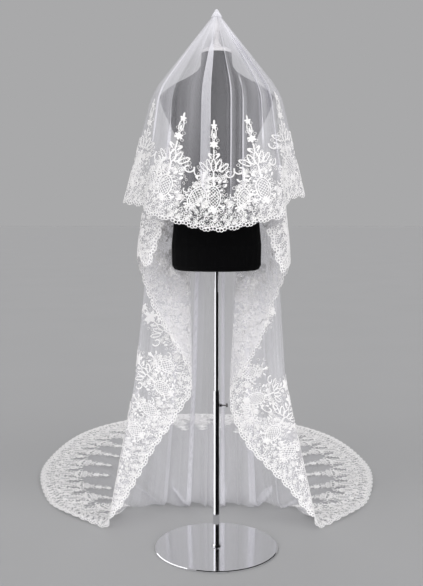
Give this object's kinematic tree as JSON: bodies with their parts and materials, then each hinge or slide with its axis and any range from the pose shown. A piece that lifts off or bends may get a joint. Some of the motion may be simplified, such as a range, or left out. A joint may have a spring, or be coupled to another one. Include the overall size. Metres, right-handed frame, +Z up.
{
  "type": "bridal veil on dress form stand",
  "caption": "Tiered cathedral bridal veil of sheer tulle with a corded lace border, laid over a limbless dress form on a telescopic stand, with folded side cascades and an oval train.",
  "frame": {"origin": "centre of the round base plate's underside, on the floor", "axes": "+Z up along the pole, -Y towards the front of the dress form, the train runs out along +Y, +X to the right seen from the front"},
  "size_m": [1.3258, 1.9156, 1.6243],
  "materials": {
    "chrome": "polished chrome plate",
    "screw_steel": "plated steel thumb screw",
    "jersey": "matt black cotton jersey stretched over the form",
    "cap": "white lacquered wood",
    "finial": "white lacquered wood",
    "tulle": "sheer white nylon tulle",
    "lace": "white corded lace on net"
  },
  "bodies": {
    "stand": {"base_plate": "chrome", "base_flange": "chrome", "lower_tube": "chrome", "upper_tube": "chrome", "clamp_boss": "chrome", "torso": "jersey", "neck_cap": "cap", "finial": "finial", "gathered_head": "tulle", "front_tier": "tulle", "front_lace": "lace", "cascade_left": "tulle", "cascade_left_lace": "lace", "cascade_right": "tulle", "cascade_right_lace": "lace", "tail_fall": "tulle", "train": "tulle", "train_lace": "lace"},
    "clamp": {"clamp_screw": "screw_steel"}
  },
  "joints": [
    {"name": "clamp_screw_turn", "type": "hinge", "parent": "stand", "child": "clamp", "pos_m": [0.024, 0, 0.448], "axis": [1, 0, 0], "range_deg": [0, 540]}
  ]
}
